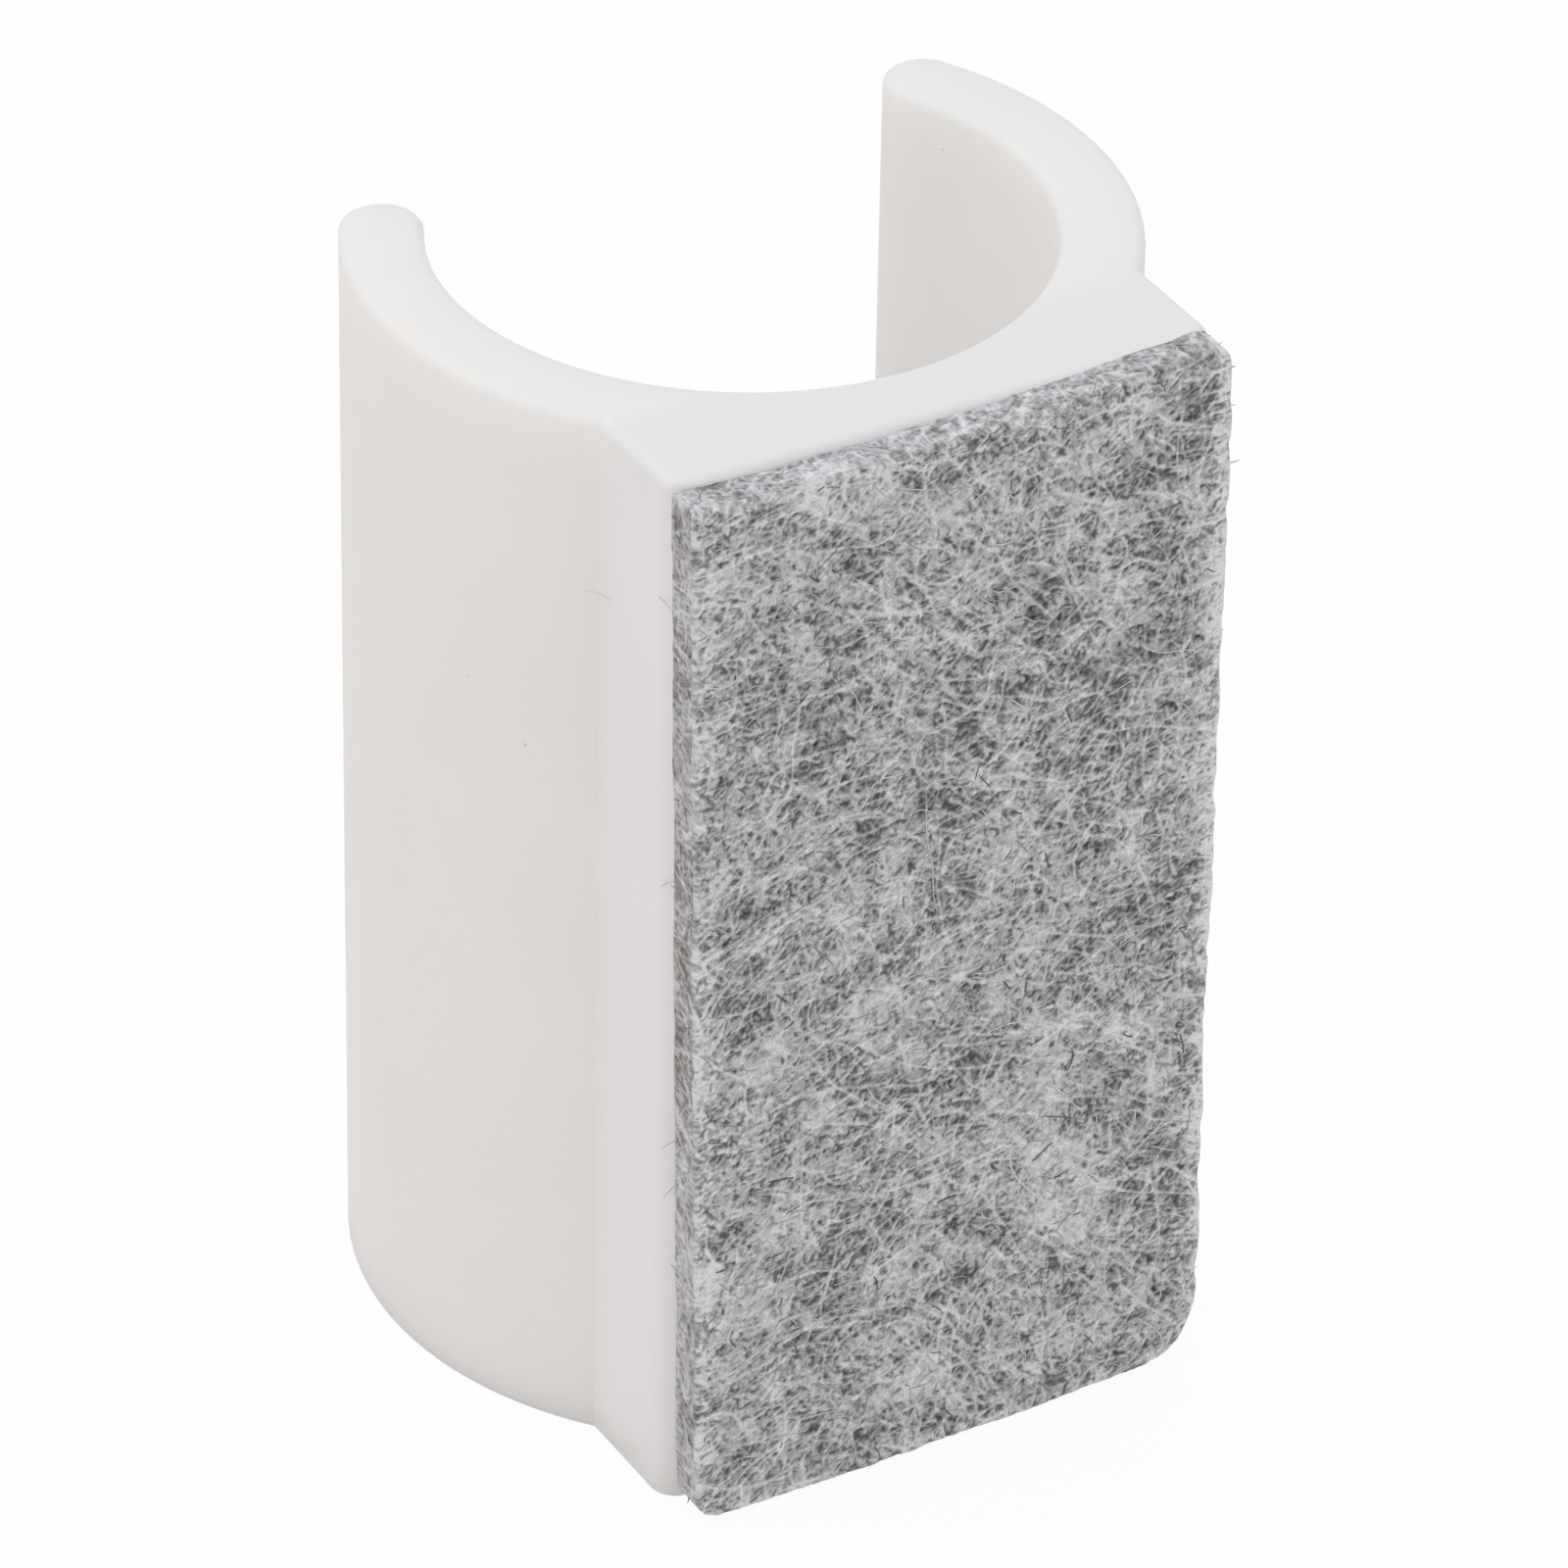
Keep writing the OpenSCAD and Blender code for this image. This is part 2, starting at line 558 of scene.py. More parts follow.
def on_sole(p, q, h):
    """A place on the sole as a point of the part, in metres: p and q blend the places of the felt's four
    corners, and h stands out of its face."""
    u = p / FELT_WIDTH + 0.5
    v = q / FELT_LENGTH + 0.5
    x, z = (
        (1 - v) * ((1 - u) * low_left + u * low_right) + v * ((1 - u) * high_left + u * high_right)
        for low_left, low_right, high_left, high_right in zip(*SOLE_CORNERS)
    )
    y = -(FELT_FRONT + h)
    return np.stack(np.broadcast_arrays(x, y, z), -1) * MM


def bell_blur(field, width):
    """A field blurred by a bell curve this many cells wide: its waves are weighed by the curve's own
    transform."""
    wave = np.hypot(np.fft.fftfreq(field.shape[0])[:, None], np.fft.rfftfreq(field.shape[1])[None, :])
    bell = np.exp(-2 * (math.pi * wave * width) ** 2)
    return np.fft.irfft2(np.fft.rfft2(field) * bell, field.shape)


def soft_noise(shape, width):
    """Smooth random field of unit spread: white noise under a bell blur of this width in cells."""
    field = bell_blur(rng.standard_normal(shape), width)
    return field / field.std()


def felt_shade(tone):
    """Linear colour value of a tone of the felt, where 0 is its darkest pit, with its shade painted in, and
    1 its lightest strand, on a scale of screen values that is lifted in the middle, made up for the light
    that its upright face misses."""
    lifted = tone + MIDDLE_LIFT * tone * (1 - tone)
    level = (SHADED_PIT_LEVEL + (STRAND_LEVEL - SHADED_PIT_LEVEL) * lifted) / 255
    return np.clip(((level + 0.055) / 1.055) ** 2.4 / SOLE_LIGHT, 0.02, 0.98)


def edge_wave():
    """Random wave of about unit height along an edge: slow swells and finer lumps."""
    swells = soft_noise((1, len(EDGE_PLACES)), 14)[0]
    lumps = soft_noise((1, len(EDGE_PLACES)), 5)[0]
    return 0.7 * swells + 0.6 * lumps


# How far each edge lies outside its straight line, and the way that the web was carded
EDGE_WAVES = [
    stray * edge_wave() + bulge * (1 - EDGE_PLACES ** 2)
    for stray, bulge in zip(EDGE_STRAY, EDGE_BULGE)
]
COMBED_WAY = soft_noise(COMB_GRID, COMB_WIDTH)


def die_cut(across, along):
    """Outline of the felt: across and along run from -1 to 1. In each corner the square is mapped to a
    quarter disc, and each edge strays a little from straight, which a high power of across or along keeps
    close to that edge."""
    half = (FELT_WIDTH / 2, FELT_LENGTH / 2)
    p = across * half[0]
    q = along * half[1]
    left = across < 0
    low = along < 0
    bottom = np.where(left, BOTTOM_CORNERS[0], BOTTOM_CORNERS[1])
    top = np.where(left, TOP_CORNERS[0], TOP_CORNERS[1])
    corner = np.where(low, bottom, top)
    u = np.clip((np.abs(p) - half[0] + corner) / corner, 0, 1)
    v = np.clip((np.abs(q) - half[1] + corner) / corner, 0, 1)
    p = p + np.sign(p) * corner * u * (np.sqrt(1 - v * v / 2) - 1)
    q = q + np.sign(q) * corner * v * (np.sqrt(1 - u * u / 2) - 1)
    side_stray = np.where(left, *(np.interp(along, EDGE_PLACES, wave) for wave in EDGE_WAVES[:2]))
    end_stray = np.where(low, *(np.interp(across, EDGE_PLACES, wave) for wave in EDGE_WAVES[2:]))
    p = p + np.sign(across) * np.abs(across) ** 10 * side_stray
    q = q + np.sign(along) * np.abs(along) ** 16 * end_stray
    return p, q


def scatter_strands(count, middle_length, curl, carded_share=0.05):
    """Random strands over the felt's face: some lie the way the web was carded there, the rest any way,
    and each has a bend, a swing and a length of its own."""
    p = rng.uniform(-0.52, 0.52, count) * FELT_WIDTH
    q = rng.uniform(-0.52, 0.52, count) * FELT_LENGTH
    carded = rng.random(count) < carded_share
    combed = 0.35 * at_grid(COMBED_WAY, p, q) + rng.normal(-0.1, 0.15, count)
    heading = np.where(carded, combed, rng.uniform(-math.pi, math.pi, count))
    return {
        "p": p,
        "q": q,
        "heading": heading + math.pi * rng.integers(0, 2, count),
        "bend": rng.normal(0.0, 0.28 * curl, count),
        "swing": rng.normal(0.0, 0.28 * curl, count),
        "rate": rng.uniform(1.2, 3.6, count) * curl,
        "phase": rng.uniform(0, 2 * math.pi, count),
        "length": middle_length * np.clip(rng.lognormal(0.0, 0.5, count), 0.3, 3.0),
    }


def strand_lines(strands, steps):
    """Strands as lines in the plane. At a distance s along a strand its heading is the first heading,
    plus bend times s, plus a swing that follows a sine, and its place is the running sum of steps."""
    column = {name: value[:, None] for name, value in strands.items()}
    s = column["length"] * np.linspace(0, 1, steps)
    swing = column["swing"] * np.sin(column["rate"] * s + column["phase"])
    heading = column["heading"] + column["bend"] * s + swing
    pace = column["length"] / (steps - 1)
    p = column["p"] + np.cumsum(np.cos(heading), 1) * pace
    q = column["q"] + np.cumsum(np.sin(heading), 1) * pace
    return p, q


def trimmed(strands):
    """The same strands, each cut off where it first runs over the felt's edge."""
    p, q = strand_lines(strands, TRIM_STEPS)
    inside = (np.abs(p) < FELT_WIDTH / 2 - TIP_ROOM) & (np.abs(q) < FELT_LENGTH / 2 - TIP_ROOM)
    share = np.cumprod(inside, 1).sum(1) / TRIM_STEPS
    kept = share > LEAST_SHARE
    return {name: value[kept] * (share[kept] if name == "length" else 1) for name, value in strands.items()}


def at_grid(field, p, q):
    """A field over the felt's face at any place, from the four nearest of its points."""
    i = np.clip((p / FELT_WIDTH + 0.5) * (field.shape[0] - 1), 0, field.shape[0] - 1.001)
    j = np.clip((q / FELT_LENGTH + 0.5) * (field.shape[1] - 1), 0, field.shape[1] - 1.001)
    column = i.astype(int)
    row = j.astype(int)
    u = i - column
    v = j - row
    near = field[column, row] * (1 - v) + field[column, row + 1] * v
    far = field[column + 1, row] * (1 - v) + field[column + 1, row + 1] * v
    return near * (1 - u) + far * u


def on_raster(p, q, weight):
    """Sum of weights at each point of the raster: a place shares its weight among the four nearest."""
    i = (p / FELT_WIDTH + 0.5) * (RASTER[0] - 1)
    j = (q / FELT_LENGTH + 0.5) * (RASTER[1] - 1)
    inside = (i >= 0) & (i < RASTER[0] - 1) & (j >= 0) & (j < RASTER[1] - 1)
    i = i[inside]
    j = j[inside]
    column = i.astype(int)
    row = j.astype(int)
    total = np.zeros(RASTER[0] * RASTER[1])
    for right in (0, 1):
        for up in (0, 1):
            share = np.abs(1 - right - i + column) * np.abs(1 - up - j + row)
            spot = (column + right) * RASTER[1] + row + up
            total += np.bincount(spot, weight[inside] * share, len(total))
    return total.reshape(RASTER)


def laid_over(tone, strands, own_tone, width, cover):
    """The raster of tone with one more layer of strands on it. Each is a soft line of this width in its
    own tone, and hides the share cover of what is under it."""
    steps = 3 + int(strands["length"].max() / width)
    p, q = strand_lines(strands, steps)
    weight = np.repeat(strands["length"][:, None], steps, 1) / (steps - 1) / CELL
    cells = width / CELL
    crest = cells * math.sqrt(2 * math.pi)
    mass = crest * bell_blur(on_raster(p, q, weight), cells)
    tint = crest * bell_blur(on_raster(p, q, weight * own_tone[:, None]), cells)
    hidden = cover * np.clip(1.3 * mass - 0.1, 0, 1)
    return tone * (1 - hidden) + hidden * tint / np.maximum(mass, 0.02)


def strand_count(density, size):
    """How many strands of this width and length cover the felt's face to this density."""
    return int(density * FELT_WIDTH * FELT_LENGTH / (size[0] * size[1]))


def layer_of_strands(tone, cloud, size, density, curl, dark_share, dark, light, cover):
    """The raster of tone with a layer of strands, some dark and the rest light: the dark ones are partly
    dark fibres and partly painted shade. dark_share is the share of dark ones and how much it falls where
    the clouds are light, and dark and light are the middle and spread of their tones."""
    count = strand_count(density, size)
    strands = scatter_strands(count, size[1], curl)
    crowd = at_grid(cloud, strands["p"], strands["q"])
    is_dark = rng.random(count) < dark_share[0] - dark_share[1] * crowd
    own_tone = np.where(is_dark, rng.normal(*dark, count), rng.normal(*light, count)) + 0.03 * crowd
    return laid_over(tone, strands, own_tone, size[0], cover)


def layer_of_shaded_gaps(tone, cloud, size, density, curl, dark, cover):
    """The raster of tone with a layer of short dark gaps, painted shade in the felt's hollows, which crowd
    where the clouds are dark.
    """
    count = strand_count(density, size)
    gaps = scatter_strands(count, size[1], curl)
    kept = rng.random(count) < 0.5 - 0.3 * at_grid(cloud, gaps["p"], gaps["q"])
    gaps = {name: value[kept] for name, value in gaps.items()}
    return laid_over(tone, gaps, rng.normal(*dark, kept.sum()), size[0], cover)


def layer_on_top(tone, size, density, curl, carded_share, light, cover):
    """The raster of tone with a layer of light strands, many of which lie the way the web was carded."""
    count = strand_count(density, size)
    strands = scatter_strands(count, size[1], curl, carded_share)
    return laid_over(tone, strands, rng.normal(*light, count), size[0], cover)


def matted_face():
    """Tone and height of the felt's face on its grid, and the clouds in it. Short strands, light and dark,
    are laid down layer on layer as a mat, longer light ones as a web over them, then dark gaps, a thin
    web and a few long strands on top. The dark gaps, and in part the dark strands, are painted shade. The
    face is as high as it is light, so that the dark spots of painted shade are pits."""
    cloud = sum(strength * soft_noise(RASTER, width / CELL) for strength, width in CLOUDS)
    tone = np.full(RASTER, 0.5)
    for size in MAT_STRANDS:
        tone = layer_of_strands(tone, cloud, size, **MAT_LAYER)
    for size in WEB_STRANDS:
        tone = layer_of_strands(tone, cloud, size, **WEB_LAYER)
    for size in SHADED_GAP_STRANDS:
        tone = layer_of_shaded_gaps(tone, cloud, size, **SHADED_GAP_LAYER)
    for size in THIN_STRANDS:
        tone = layer_of_strands(tone, cloud, size, **THIN_LAYER)
    for size in TOP_STRANDS:
        tone = layer_on_top(tone, size, **TOP_LAYER)
    height = PIT_DEPTH * (bell_blur(tone, 0.03 / CELL) - 0.75) + 0.02 * soft_noise(RASTER, 1.2 / CELL)
    return tone[::2, ::2], height[::2, ::2], cloud[::2, ::2]


def rim_loop():
    """Grid points round the felt's face, once round from the lower left corner, anticlockwise."""
    i = np.arange(COLUMNS)
    j = np.arange(ROWS)
    column = np.concatenate([i, np.full(ROWS - 1, COLUMNS - 1), i[-2::-1], np.zeros(ROWS - 2, int)])
    row = np.concatenate([np.zeros(COLUMNS, int), j[1:], np.full(COLUMNS - 1, ROWS - 1), j[-2:0:-1]])
    return column, row


def outward(p, q):
    """Unit direction out of a closed anticlockwise loop, square to the chord between neighbours."""
    chord = np.stack([np.roll(p, -1) - np.roll(p, 1), np.roll(q, -1) - np.roll(q, 1)])
    chord = chord / np.linalg.norm(chord, axis=0)
    return chord[1], -chord[0]


def near_rim(inset):
    """0 on the flat of the felt's face, and up to 1 at its edge, from the distance in from the edge."""
    return np.clip(1 - inset / RIM_ROUND, 0, 1)


def rim_fall(near):
    """How far the rounded rim lies below the face: a quarter circle as near goes from 0 to 1."""
    return RIM_ROUND * (1 - np.sqrt(1 - near * near))


def lighter_towards_edges(across, along):
    """How much lighter the face is towards its edges: each edge's own value there, falling evenly to 0 over
    the width that belongs to it."""
    insets = (
        (1 + across) * FELT_WIDTH / 2,
        (1 - across) * FELT_WIDTH / 2,
        (1 + along) * FELT_LENGTH / 2,
        (1 - along) * FELT_LENGTH / 2,
    )
    edge_lift = np.zeros_like(across)
    for (lighter, width), inset in zip(EDGE_LIGHTENING, insets):
        edge_lift = np.maximum(edge_lift, lighter * np.clip(1 - inset / width, 0, 1))
    return edge_lift


def felt_sole(tone, height):
    """The felt as one closed skin: its face is the grid of the die-cut outline lifted by its height and
    rounded down at the rim, and lighter towards it, its sides run back from the rim in rings that
    take their tone from strips of the face, and its back is flat, and pale where the adhesive coats it."""
    across, along = np.meshgrid(np.linspace(-1, 1, COLUMNS), np.linspace(-1, 1, ROWS), indexing="ij")
    p, q = die_cut(across, along)
    inset = np.minimum((1 - np.abs(across)) * FELT_WIDTH, (1 - np.abs(along)) * FELT_LENGTH) / 2
    near = near_rim(inset)
    h = height - rim_fall(near)
    face_points = on_sole(p, q, h).reshape(-1, 3)
    grid = np.arange(COLUMNS * ROWS).reshape(COLUMNS, ROWS)
    face = np.stack([grid[:-1, :-1], grid[1:, :-1], grid[1:, 1:], grid[:-1, 1:]], -1).reshape(-1, 4)

    column, row = rim_loop()
    rim_p = p[column, row]
    rim_q = q[column, row]
    out_p, out_q = outward(rim_p, rim_q)
    share = (np.arange(SIDE_RINGS)[:, None] + 1) / SIDE_RINGS
    run = np.cumsum(np.hypot(rim_p - np.roll(rim_p, 1), rim_q - np.roll(rim_q, 1)))
    strip = SIDE_STRIP * FELT_LENGTH
    side_tone = at_grid(tone, FELT_DEPTH * share + 2 * (run // strip) - 5, run % strip - strip / 2)
    rough = SIDE_ROUGHNESS * PIT_DEPTH * (side_tone - 0.6) * np.sin(math.pi * share) ** 0.5
    # The side at the high end, facing up, is painted lighter: painted light
    side_tone = 0.035 + 0.95 * side_tone + HIGH_SIDE_PAINTED_LIGHT * np.maximum(out_q, 0)
    side_h = h[column, row] * (1 - share) - FELT_DEPTH * share
    side_points = on_sole(rim_p + rough * out_p, rim_q + rough * out_q, side_h).reshape(-1, 3)
    back_points = on_sole(BACK_RING * rim_p, BACK_RING * rim_q, np.full_like(rim_p, -FELT_DEPTH))
    ring = np.arange((SIDE_RINGS + 1) * len(column)).reshape(SIDE_RINGS + 1, -1) + len(face_points)
    ring = np.concatenate([grid[column, row][None], ring])
    after = np.roll(ring, -1, 1)
    side = np.stack([ring[:-1], ring[1:], after[1:], after[:-1]], -1).reshape(-1, 4)
    back = ring[-1][::-1][None]

    spread = 1 + 0.1 * np.append(share, [[1.05]], 0)
    rim_map = np.stack([across[column, row], along[column, row]], -1)
    face_map = np.stack([across, along], -1).reshape(-1, 2)
    side_map = (spread[..., None] * rim_map).reshape(-1, 2)
    point_map = np.concatenate([face_map, side_map]) * FACE_MAP[0] + FACE_MAP[1]
    back_map = rim_map[::-1] * BACK_MAP[0] + BACK_MAP[1]
    corner_map = np.concatenate([point_map[face.ravel()], point_map[side.ravel()], back_map])
    face_tone = tone + lighter_towards_edges(across, along)
    shade = felt_shade(np.concatenate([face_tone.ravel(), side_tone.ravel(), np.ones(len(column))]))
    # Painted warm light on the sides: most on the left side, least on the right; the rim's share follows
    # its rounding
    side_painted_warmth = np.tile(0.55 - 0.45 * out_p, SIDE_RINGS)
    cut = np.concatenate([near.ravel() ** 2, side_painted_warmth, np.zeros(len(column))])
    points = np.concatenate([face_points, side_points, back_points])
    return add_piece("felt_sole", points, [face, side, back], corner_map, {"shade": shade, "cut": cut})


def tube_map(count, steps):
    """Places of thin tubes on the bake's map: each tube unrolls in its own cell of a grid, from its first
    end at the left to its last at the right, with its sides one above the other and a margin round them."""
    k, s = np.meshgrid(np.arange(steps - 1), np.arange(TUBE_SIDES), indexing="ij")
    wall = np.stack(
        [
            np.stack([k + 1, k + 2, k + 2, k + 1], -1) / (steps + 1),
            np.stack([s, s, s + 1, s + 1], -1) / TUBE_SIDES,
        ],
        -1,
    )
    side = np.arange(TUBE_SIDES)
    head = np.stack(
        [
            np.stack([0 * side, 0 * side + 1, 0 * side + 1], -1) / (steps + 1),
            np.stack([side + 0.5, side, side + 1], -1) / TUBE_SIDES,
        ],
        -1,
    )
    tail = head[:, [1, 0, 2]] * (-1, 1) + (1, 0)
    columns = math.ceil(math.sqrt(count))
    cells = (columns, math.ceil(count / columns))
    cell = np.stack([np.arange(count) % columns, np.arange(count) // columns], -1)[:, None]
    room = 1 - 2 * MAP_MARGIN
    blocks = [cell + MAP_MARGIN + room * block.reshape(-1, 2) for block in (wall, head, tail)]
    return np.concatenate([(block / cells).reshape(-1, 2) for block in blocks])


def thin_tubes(name, line, out, radius, tone, flat=1.0):
    """Three-sided tubes along lines. line and out have a point and an outward direction for each strand
    and step; a ring is the point plus radius times the cosine of 3 angles sideways and their sine
    outwards, pressed flat, and each end runs to a point."""
    count, steps = line.shape[:2]
    ahead = unit(np.gradient(line, axis=1))
    side = unit(np.cross(ahead, out))
    up = np.cross(side, ahead) * flat
    angle = np.arange(TUBE_SIDES) * 2 * math.pi / TUBE_SIDES + math.pi / 6
    taper = np.minimum(1.0, 0.55 + 3 * np.minimum(np.linspace(0, 1, steps), np.linspace(1, 0, steps)))
    size = (radius[:, None] * taper * MM)[..., None, None]
    turn = np.cos(angle)[:, None] * side[:, :, None] + np.sin(angle)[:, None] * up[:, :, None]
    rings = (line[:, :, None] + size * turn).reshape(count, -1, 3)
    reach = (2.5 * radius * MM)[:, None]
    first = line[:, 0] - ahead[:, 0] * reach
    last = line[:, -1] + ahead[:, -1] * reach
    points = np.concatenate([rings, first[:, None], last[:, None]], 1)

    tips = steps * TUBE_SIDES
    ring = np.arange(tips).reshape(steps, TUBE_SIDES)
    after = np.roll(ring, -1, 1)
    wall = np.stack([ring[:-1], ring[1:], after[1:], after[:-1]], -1).reshape(-1, 4)
    head = np.stack([np.full(TUBE_SIDES, tips), ring[0], after[0]], -1)
    tail = np.stack([ring[-1], np.full(TUBE_SIDES, tips + 1), after[-1]], -1)
    base = (np.arange(count) * (tips + 2))[:, None, None]
    faces = [(base + block).reshape(-1, block.shape[1]) for block in (wall, head, tail)]
    shade = np.repeat(felt_shade(tone), tips + 2)
    return add_piece(name, points.reshape(-1, 3), faces, tube_map(count, steps), {"shade": shade})


def face_fibres(name, height, cloud, count, steps, length, curl, carded_share, radius, tone):
    """Fibres that lie on the felt's face: each follows its height with half of itself sunk in, arches a
    little between its ends and dips in at both. Clouds thin them out here and there."""
    strands = trimmed(scatter_strands(count, length, curl, carded_share))
    crowd = at_grid(cloud, strands["p"], strands["q"])
    kept = rng.random(len(crowd)) < 0.7 + 0.3 * crowd
    strands = {key: value[kept] for key, value in strands.items()}
    p, q = strand_lines(strands, steps)
    t = np.linspace(0, 1, steps)
    bow = rng.gamma(1.5, 0.006, len(p))[:, None] * np.sin(math.pi * t)
    dip = 0.04 * (1 - np.sin(math.pi * t) ** 0.4)
    inset = np.minimum(FELT_WIDTH / 2 - np.abs(p), FELT_LENGTH / 2 - np.abs(q))
    h = at_grid(height, p, q) + bow - dip - rim_fall(near_rim(inset))
    line = on_sole(*die_cut(2 * p / FELT_WIDTH, 2 * q / FELT_LENGTH), h)
    out = np.broadcast_to(np.array([0.0, -1.0, 0.0]), line.shape)
    own_tone = np.clip(rng.normal(*tone, len(p)), 0, 1)
    return thin_tubes(name, line, out, rng.uniform(*radius, len(p)), own_tone, FIBRE_FLAT)


def side_fibres(name, count, steps, length, radius, tone):
    """Fibres that show on the cut sides: lines in the plane of rim distance and depth, wrapped round
    the felt's outline."""
    loop_p, loop_q = felt_outline()
    out_p, out_q = outward(loop_p, loop_q)
    pace = np.hypot(np.roll(loop_p, -1) - loop_p, np.roll(loop_q, -1) - loop_q)
    distance = np.concatenate([[0], np.cumsum(pace)])
    round_it = distance[-1]
    closed = [np.append(value, value[0]) for value in (loop_p, loop_q, out_p, out_q)]
    t = np.linspace(0, 1, steps)
    slope = rng.normal(0.0, 0.5, count)[:, None]
    own_length = rng.uniform(*length, count)[:, None]
    along = rng.uniform(0, round_it, count)[:, None] + own_length * np.cos(slope) * t
    depth = rng.uniform(0.2, FELT_DEPTH - 0.1, count)[:, None] + own_length * np.sin(slope) * (t - 0.5)
    depth = np.clip(depth + 0.08 * np.sin(5 * t + 9 * slope), 0.16, FELT_DEPTH - 0.03)
    p, q, push_p, push_q = (np.interp(along % round_it, distance, value) for value in closed)
    stand = 0.02 * np.sin(math.pi * t) * rng.random(count)[:, None] - 0.01
    line = on_sole(p + push_p * stand, q + push_q * stand, -depth)
    out = unit(on_sole(push_p, push_q, 0.0) - on_sole(0.0, 0.0, 0.0))
    own_tone = np.clip(rng.normal(*tone, count), 0.05, 0.95)
    return thin_tubes(name, line, out, rng.uniform(*radius, count), own_tone, FIBRE_FLAT)


def rim_whiskers(name, count, steps, root, reach, radius, tone):
    """Short loose ends round the rim, apart from its low edge: each leaves the outline outwards from its
    root inside, leans along it and curls."""
    loop_p, loop_q = felt_outline()
    out_p, out_q = outward(loop_p, loop_q)
    pick = rng.choice(np.flatnonzero(out_q > -0.1), count)
    t = np.linspace(0, 1, steps)
    length = root + np.clip(rng.gamma(1.2, 0.09, count), *reach)[:, None]
    lean = rng.normal(0.0, 0.18, count)[:, None]
    curl = rng.normal(0.0, 0.12, count)[:, None]
    depth = rng.uniform(0.08, FELT_DEPTH - 0.15, count)[:, None] + rng.normal(0, 0.15, count)[:, None] * t
    away = length * t - root
    along = lean * t + curl * t * t
    p = loop_p[pick][:, None] + out_p[pick][:, None] * away - out_q[pick][:, None] * along
    q = loop_q[pick][:, None] + out_q[pick][:, None] * away + out_p[pick][:, None] * along
    line = on_sole(p, q, -np.clip(depth, 0.02, FELT_DEPTH - 0.05))
    out = np.broadcast_to(np.array([0.0, -1.0, 0.0]), line.shape)
    own_tone = np.clip(rng.normal(*tone, count), 0.15, 0.95)
    return thin_tubes(name, line, out, rng.uniform(*radius, count), own_tone)


def felt_outline():
    """The die-cut outline as a closed loop of places, anticlockwise from the lower left corner."""
    column, row = rim_loop()
    return die_cut(np.linspace(-1, 1, COLUMNS)[column], np.linspace(-1, 1, ROWS)[row])


def adhesive_sheet():
    """Adhesive backing as one closed skin: the felt's outline drawn in a little, carried from the back
    of the felt almost to the foot, so that light which soaks through the foot comes back from it."""
    p, q = felt_outline()
    out_p, out_q = outward(p, q)
    inset = GLUE_INSET + 0.04 * soft_noise((1, len(p)), 10)[0]
    depth = np.array([[FELT_DEPTH], [FELT_DEPTH + GLUE_DEPTH - GLUE_GAP]])
    points = on_sole(p - inset * out_p, q - inset * out_q, -depth).reshape(-1, 3)
    ring = np.arange(2 * len(p)).reshape(2, -1)
    after = np.roll(ring, -1, 1)
    side = np.stack([ring[0], ring[1], after[1], after[0]], -1)
    front = ring[0][None]
    back = ring[1][::-1][None]
    flat_map = np.stack([p / FELT_WIDTH, q / FELT_LENGTH], -1)
    point_map = np.concatenate([flat_map, flat_map * 1.08]) * GLUE_FRONT_MAP[0] + GLUE_FRONT_MAP[1]
    back_map = flat_map[::-1] * GLUE_BACK_MAP[0] + GLUE_BACK_MAP[1]
    corner_map = np.concatenate([point_map[side.ravel()], point_map[front.ravel()], back_map])
    return add_piece("adhesive_sheet", points, [side, front, back], corner_map)


def loose_hairs(name):
    """Loose hairs beside the felt: each is an arc between two places on the foot that bows out from its
    side."""
    ends = np.array(HAIR_ENDS)
    t = np.linspace(0, 1, 10)[:, None]
    line = ends[:, :1] * (1 - t) + ends[:, 1:] * t
    line = line + np.sin(math.pi * t) * np.array(HAIR_BOW)
    out = np.broadcast_to(np.array([-1.0, 0.0, 0.0]), line.shape)
    tone = np.linspace(0.75, 0.5, len(ends))
    return thin_tubes(name, line * MM, out, np.full(len(ends), HAIR_RADIUS), tone)


def placed(right, up, ahead, place):
    """Matrix that puts a camera or a lamp at this place, from its right, its up and the way it looks."""
    matrix = np.eye(4)
    matrix[:3] = np.column_stack([right, up, -ahead, place])
    return Matrix(matrix.tolist())


def photo_camera():
    """Camera of the photograph: it looks along azimuth, elevation and roll from a fitted place."""
    azimuth, elevation, roll = np.radians(CAMERA_ANGLES)
    level = np.array([math.sin(azimuth), math.cos(azimuth), 0.0])
    ahead = math.cos(elevation) * level - np.array([0.0, 0.0, math.sin(elevation)])
    right = np.array([math.cos(azimuth), -math.sin(azimuth), 0.0])
    up = np.cross(right, ahead)
    turned_right = math.cos(roll) * right + math.sin(roll) * up
    turned_up = -math.sin(roll) * right + math.cos(roll) * up
    data = bpy.data.cameras.new("photo_camera")
    data.sensor_width = SENSOR_WIDTH
    data.lens = SENSOR_WIDTH * FOCAL_PIXELS / FRAME_PIXELS
    camera = bpy.data.objects.new("photo_camera", data)
    camera.matrix_world = placed(turned_right, turned_up, ahead, np.array(CAMERA_PLACE) * MM)
    bpy.context.scene.collection.objects.link(camera)
    bpy.context.scene.camera = camera


def seen_rays(start):
    """1 for rays from the camera, and for those that a mirror or glass passes on, else 0."""
    names = ("Is Camera Ray", "Is Glossy Ray", "Is Transmission Ray")
    camera, mirrored, passed = (start.node("LightPath", out=name) for name in names)
    return (camera + mirrored + passed).smaller(1.0)


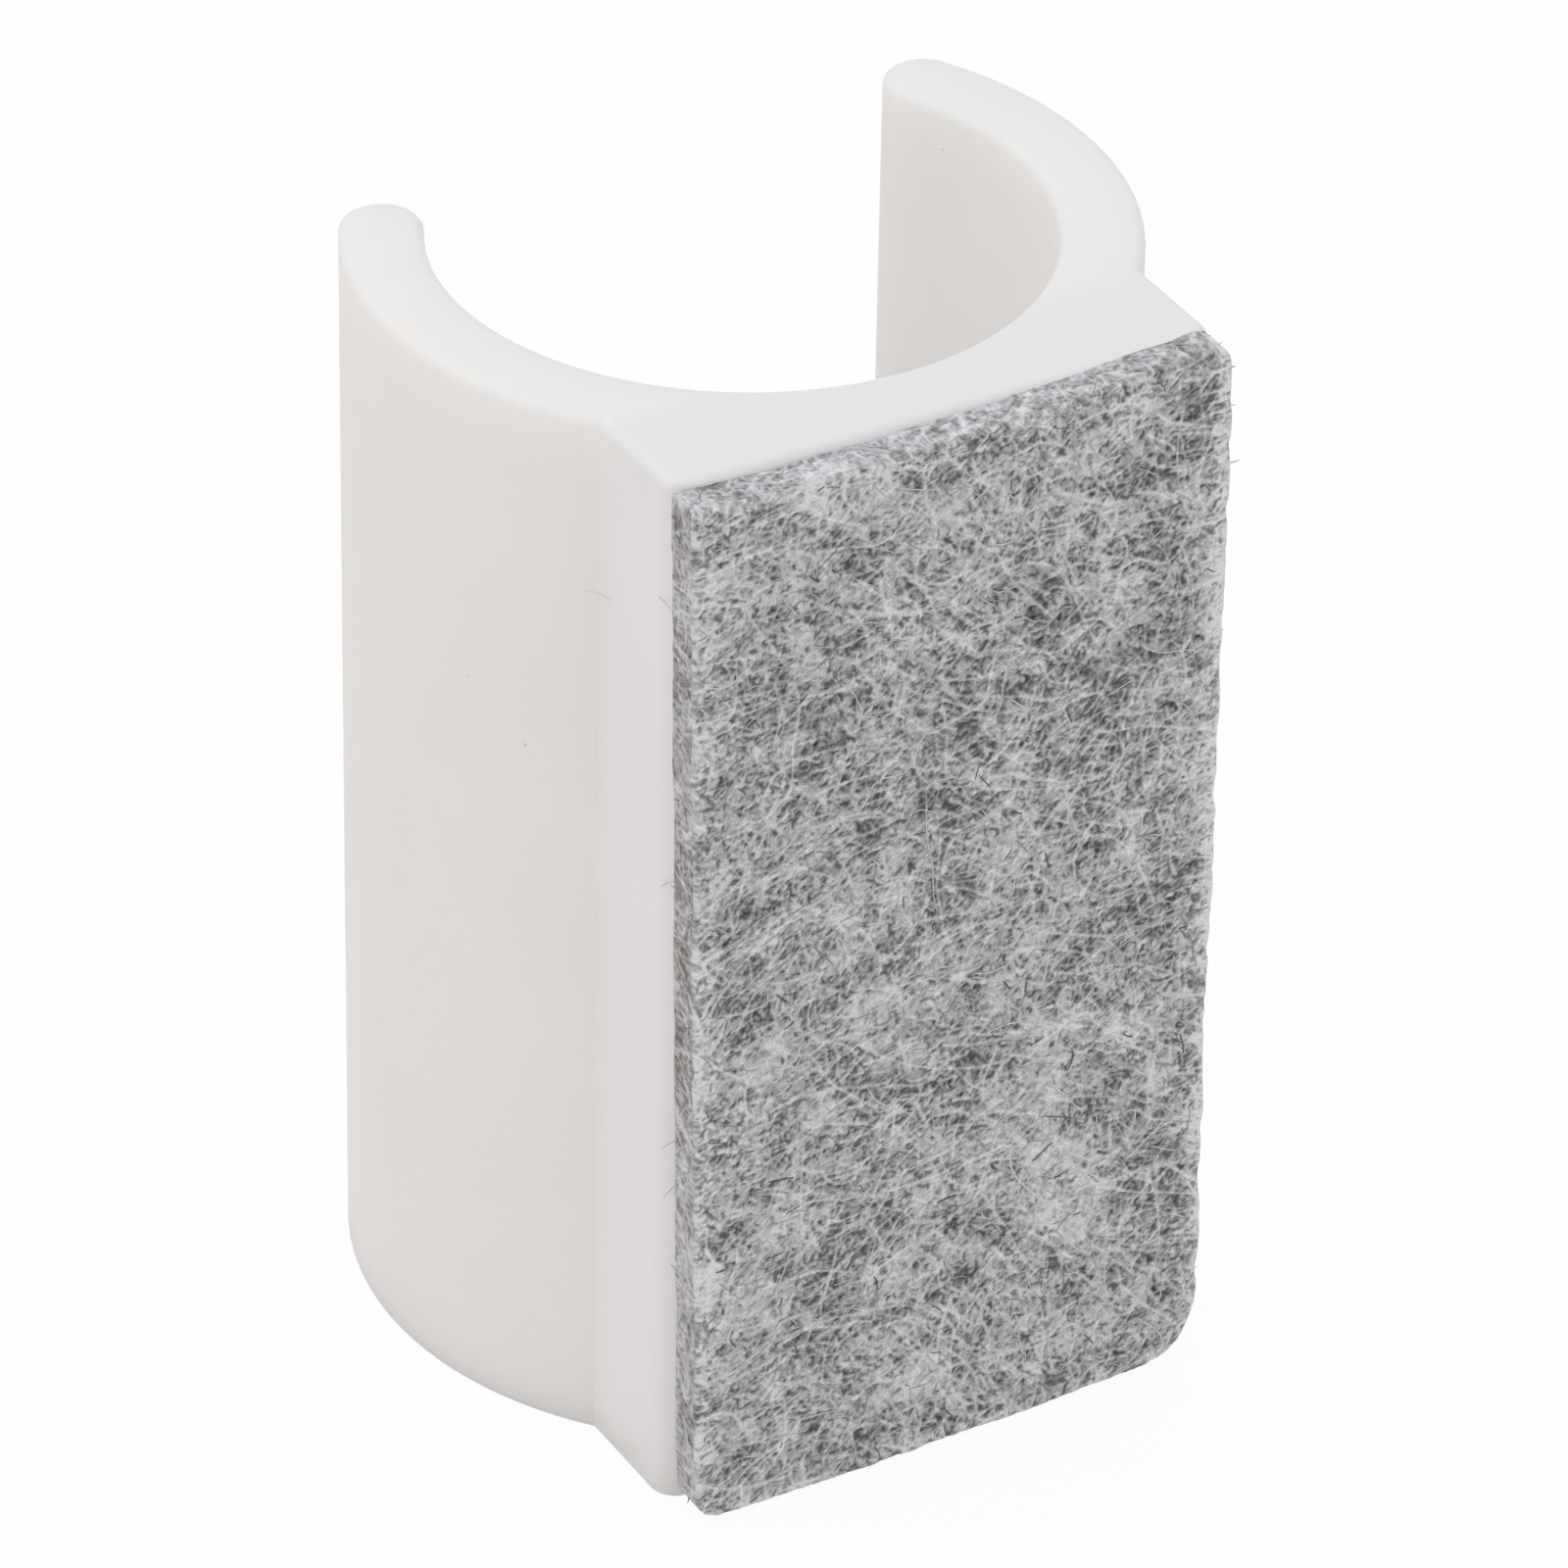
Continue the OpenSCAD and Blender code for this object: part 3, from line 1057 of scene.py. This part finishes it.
def studio_dome():
    """Even dome of light, which is white where it is seen."""
    world = bpy.data.worlds.new("studio")
    bpy.context.scene.world = world
    world.use_nodes = True
    world.node_tree.nodes.clear()
    start = Wire(world.node_tree)
    dome = start.node("Background", None, {"Color": DOME_COLOUR, "Strength": DOME_STRENGTH})
    seen = start.node("Background", None, {"Color": WHITE, "Strength": 1.0})
    both = start.node("MixShader", None, {0: seen_rays(start), 1: dome, 2: seen})
    start.node("OutputWorld", None, {"Surface": both})


def studio_floor():
    """Pale floor that keeps the shadow: a square of matt paint with a glow, white where it is seen."""
    material, start = new_finish("studio_floor")
    seen = seen_rays(start)
    paint = start.node("BsdfDiffuse", None, {"Color": seen.mix(FLOOR_PAINT, WHITE)})
    glow = start.node("Emission", None, {"Color": seen.mix(FLOOR_GLOW, WHITE)})
    both = start.node("MixShader", None, {0: GLOW_SHARE + seen * SEEN_GLOW, 1: paint, 2: glow})
    start.node("OutputMaterial", None, {"Surface": both})
    corners = np.array([[-1, -1], [1, -1], [1, 1], [-1, 1]]) * FLOOR_REACH
    corners = np.column_stack([corners, np.full(4, -FLOOR_GAP * MM)])
    floor = add_piece("studio_floor", corners, [np.array([[0, 1, 2, 3]])])
    floor.data.materials.append(material)


def soft_box(name, place, size, power):
    """Square lamp at this place, aimed at the slider."""
    data = bpy.data.lights.new(name, "AREA")
    data.shape = "SQUARE"
    data.size = size
    data.energy = power
    lamp = bpy.data.objects.new(name, data)
    ahead = unit(np.array(LIT_PLACE) - np.array(place))
    right = unit(np.cross(ahead, [0.0, 0.0, 1.0]))
    lamp.matrix_world = placed(right, np.cross(right, ahead), ahead, place)
    bpy.context.scene.collection.objects.link(lamp)


# Pieces of the slider and their finishes
fibre = felt_fibre()
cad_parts["clip_body"].data.materials[0] = moulded_plastic()

tone, height, cloud = matted_face()
sole = felt_sole(tone, height)
wear(sole, matted_felt())
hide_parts("felt_pad")
backing = adhesive_sheet()
wear(backing, adhesive_film())
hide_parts("adhesive_layer")

for name, makeup in FACE_FIBRES.items():
    wear(face_fibres(name, height, cloud, **makeup), fibre)
wear(side_fibres("felt_fibres_side", **SIDE_FIBRES), fibre)
wear(rim_whiskers("felt_whiskers", **WHISKERS), fibre)
wear(loose_hairs("loose_hairs"), fibre)

# Camera and light
photo_camera()
studio_dome()
studio_floor()
for box in SOFT_BOXES:
    soft_box(*box)
bpy.context.scene.view_settings.view_transform = "Standard"
